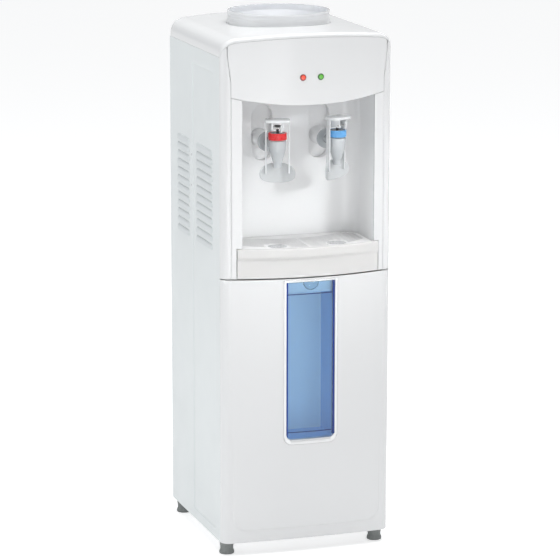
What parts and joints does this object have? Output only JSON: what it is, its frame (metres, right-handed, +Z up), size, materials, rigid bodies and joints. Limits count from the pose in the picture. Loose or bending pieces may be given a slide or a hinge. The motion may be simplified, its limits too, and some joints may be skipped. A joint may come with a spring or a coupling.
{
  "type": "bottled water cooler",
  "caption": "Free-standing hot and cold water cooler for an inverted bottle, with an alcove, lever taps, a drip tray and a cup compartment behind a hinged window.",
  "frame": {"origin": "on the floor, at the middle of the overall width and depth", "axes": "+X to the right of a person facing the cooler, +Y to the back, +Z up; the front faces -Y"},
  "size_m": [0.32, 0.387, 0.975],
  "materials": {
    "white_abs": "moulded white ABS, glossy",
    "liner_abs": "moulded white ABS, satin",
    "tray_abs": "moulded warm white ABS",
    "side_panels": "powder-coated sheet steel, cool light grey",
    "zinc_steel": "zinc-plated sheet steel",
    "stainless": "stainless steel",
    "aluminium": "extruded aluminium",
    "blue_window": "translucent blue acrylic",
    "milky_plastic": "translucent white polypropylene",
    "tap_body_plastic": "translucent grey plastic",
    "tap_white": "white plastic",
    "red_plastic": "red plastic",
    "blue_plastic": "blue plastic",
    "red_lens": "red translucent lens",
    "green_lens": "green translucent lens",
    "black_plastic": "black nylon",
    "foot_rubber": "dark grey rubber",
    "foam": "expanded polystyrene",
    "silicone": "white silicone",
    "mica": "mica heater band",
    "ceramic": "white alumina",
    "circuit_board": "glass-epoxy board"
  },
  "bodies": {
    "cabinet": {"left_side_panel": "side_panels", "right_side_panel": "side_panels", "rear_panel": "side_panels", "base_pan": "zinc_steel", "component_shelf": "zinc_steel", "tank_shelf": "zinc_steel", "top_cover": "white_abs", "front_frame": "white_abs", "fascia": "white_abs", "alcove_liner": "liner_abs", "lower_front_panel": "white_abs", "window_bezel": "white_abs", "cup_compartment": "liner_abs", "tank_lid": "milky_plastic", "cold_tank": "stainless", "hot_tank": "stainless", "drain_pipe": "stainless", "tank_insulation": "foam", "cold_block": "aluminium", "heat_sink": "aluminium", "thermoelectric_module": "ceramic", "fan_frame": "black_plastic", "heater_band": "mica", "tank_thermostat": "black_plastic", "cold_hose": "silicone", "hot_hose": "silicone", "feed_hose": "silicone", "power_supply": "zinc_steel", "lamp_board": "circuit_board", "red_lamp": "red_lens", "green_lamp": "green_lens", "power_inlet": "black_plastic", "switch_frame": "black_plastic", "front_left_foot": "foot_rubber", "front_right_foot": "foot_rubber", "rear_left_foot": "foot_rubber", "rear_right_foot": "foot_rubber", "hot_tap_body": "tap_body_plastic", "hot_tap_bonnet": "tap_white", "hot_tap_ring": "red_plastic", "hot_tap_pin": "stainless", "hot_tap_nut": "tap_body_plastic", "cold_tap_body": "tap_body_plastic", "cold_tap_bonnet": "tap_white", "cold_tap_ring": "blue_plastic", "cold_tap_pin": "stainless", "cold_tap_nut": "tap_body_plastic"},
    "hot_lever": {"hot_tap_lever": "tap_white"},
    "cold_lever": {"cold_tap_lever": "tap_white"},
    "hot_stem": {"hot_tap_stem": "silicone"},
    "cold_stem": {"cold_tap_stem": "silicone"},
    "drip_tray": {"drip_tray": "tray_abs"},
    "drip_grille": {"drip_grille": "tray_abs"},
    "cup_door": {"cup_door": "blue_window"},
    "hot_switch": {"hot_switch": "red_plastic"},
    "cold_switch": {"cold_switch": "blue_plastic"},
    "fan_rotor": {"fan_rotor": "black_plastic"},
    "drain_cap": {"drain_cap": "black_plastic"},
    "bottle_collar": {"bottle_collar": "milky_plastic", "feed_spike": "milky_plastic"}
  },
  "joints": [
    {"name": "hot_lever_pivot", "type": "hinge", "parent": "cabinet", "child": "hot_lever", "pos_m": [-0.05922, -0.17252, 0.7862], "axis": [0.9563, -0.2924, 0], "range_deg": [0, 14]},
    {"name": "cold_lever_pivot", "type": "hinge", "parent": "cabinet", "child": "cold_lever", "pos_m": [0.06166, -0.17143, 0.7862], "axis": [0.8572, 0.515, 0], "range_deg": [0, 14]},
    {"name": "hot_stem_lift", "type": "slide", "parent": "cabinet", "child": "hot_stem", "axis": [0, 0, 1], "range_m": [0, 0.00407], "stiffness_N_per_m": 60, "springref_m": -0.005},
    {"name": "cold_stem_lift", "type": "slide", "parent": "cabinet", "child": "cold_stem", "axis": [0, 0, 1], "range_m": [0, 0.00407], "stiffness_N_per_m": 60, "springref_m": -0.005},
    {"name": "drip_tray_slide", "type": "slide", "parent": "cabinet", "child": "drip_tray", "axis": [0, -1, 0], "range_m": [0, 0.09]},
    {"name": "drip_grille_lift", "type": "slide", "parent": "drip_tray", "child": "drip_grille", "axis": [0, 0, 1], "range_m": [0, 0.04]},
    {"name": "cup_door_hinge", "type": "hinge", "parent": "cabinet", "child": "cup_door", "pos_m": [0, -0.183, 0.2246], "axis": [1, 0, 0], "range_deg": [0, 65]},
    {"name": "hot_switch_rock", "type": "hinge", "parent": "cabinet", "child": "hot_switch", "pos_m": [0.082, 0.165, 0.69], "axis": [1, 0, 0], "range_deg": [0, 16]},
    {"name": "cold_switch_rock", "type": "hinge", "parent": "cabinet", "child": "cold_switch", "pos_m": [0.108, 0.165, 0.69], "axis": [1, 0, 0], "range_deg": [0, 16]},
    {"name": "fan_spin", "type": "hinge", "parent": "cabinet", "child": "fan_rotor", "pos_m": [0, 0.13155, 0.79], "axis": [0, 1, 0], "continuous": true},
    {"name": "drain_cap_turn", "type": "hinge", "parent": "cabinet", "child": "drain_cap", "pos_m": [-0.085, 0.1845, 0.565], "axis": [0, 1, 0], "continuous": true},
    {"name": "bottle_collar_lift", "type": "slide", "parent": "cabinet", "child": "bottle_collar", "axis": [0, 0, 1], "range_m": [0, 0.08]}
  ],
  "couplings": [
    {"joint": "hot_lever_pivot", "follows": "hot_stem_lift", "rad_per_m": 60},
    {"joint": "cold_lever_pivot", "follows": "cold_stem_lift", "rad_per_m": 60}
  ]
}
